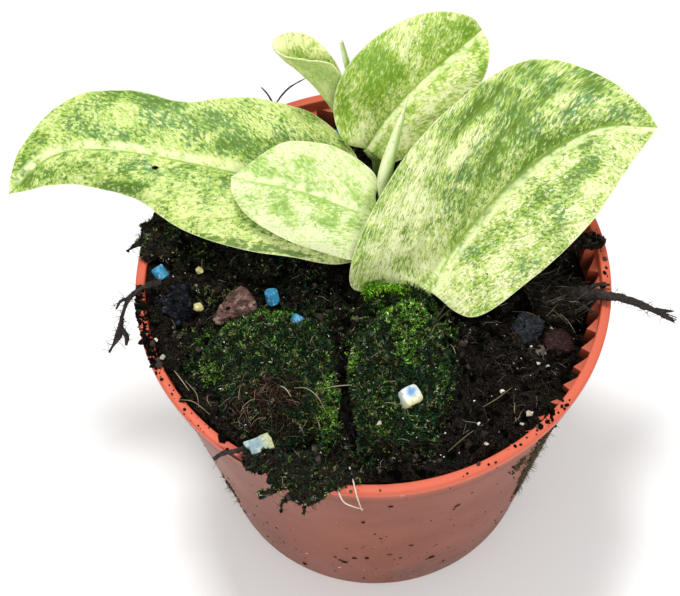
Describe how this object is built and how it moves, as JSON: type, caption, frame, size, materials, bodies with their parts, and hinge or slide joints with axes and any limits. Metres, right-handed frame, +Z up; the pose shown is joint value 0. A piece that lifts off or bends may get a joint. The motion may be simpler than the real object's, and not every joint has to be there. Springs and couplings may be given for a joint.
{
  "type": "potted marble aurea rhaphidophora korthalsii",
  "caption": "Young marbled shingle plant with broad cream and lime leaves, rooted in mossy potting mix heaped in a round tapered nursery pot that stands on its base.",
  "frame": {"origin": "centre of the flat pad under the pot, on the surface that it stands on", "axes": "+Z up along the pot's axis, -Y towards the front as pictured, -X along the long left leaf"},
  "size_m": [0.1673, 0.1253, 0.1406],
  "materials": {
    "pot_plastic": "satin",
    "potting_mix": "matte",
    "moss": "matte",
    "fibre": "matte",
    "bark": "matte",
    "charcoal": "matte",
    "pale_stone": "matte",
    "blue_granule": "satin",
    "white_granule": "satin",
    "pale_grain": "matte",
    "root": "matte",
    "pale_root": "matte",
    "stem": "satin",
    "leaf": "satin",
    "pale_leaf": "satin"
  },
  "bodies": {
    "root": {"pot": "pot_plastic", "soil": "potting_mix", "moss_mound_left": "moss", "moss_mound_right": "moss", "clump_front": "fibre", "clump_upper_left": "fibre", "clump_upper_right": "fibre", "clump_right": "fibre", "bark_red_left": "bark", "bark_red_right": "bark", "charcoal_left": "charcoal", "bark_slate_right": "charcoal", "lump_pale_right": "pale_stone", "granule_blue_a": "blue_granule", "granule_blue_b": "blue_granule", "granule_blue_c": "blue_granule", "granule_blue_d": "blue_granule", "granule_white": "white_granule", "flake_white": "white_granule", "grain_pale_a": "pale_grain", "grain_pale_b": "pale_grain", "root_right": "root", "root_left": "root", "root_back": "root", "twig_front_left": "root", "rootlet_front": "pale_root", "stem_front": "stem", "stem_back": "stem", "leaf_left_large": "leaf", "leaf_left_small": "pale_leaf", "leaf_right_large": "leaf", "leaf_back": "leaf", "leaf_back_curled": "leaf", "spear": "pale_leaf", "tip_back": "pale_leaf"}
  },
  "joints": []
}
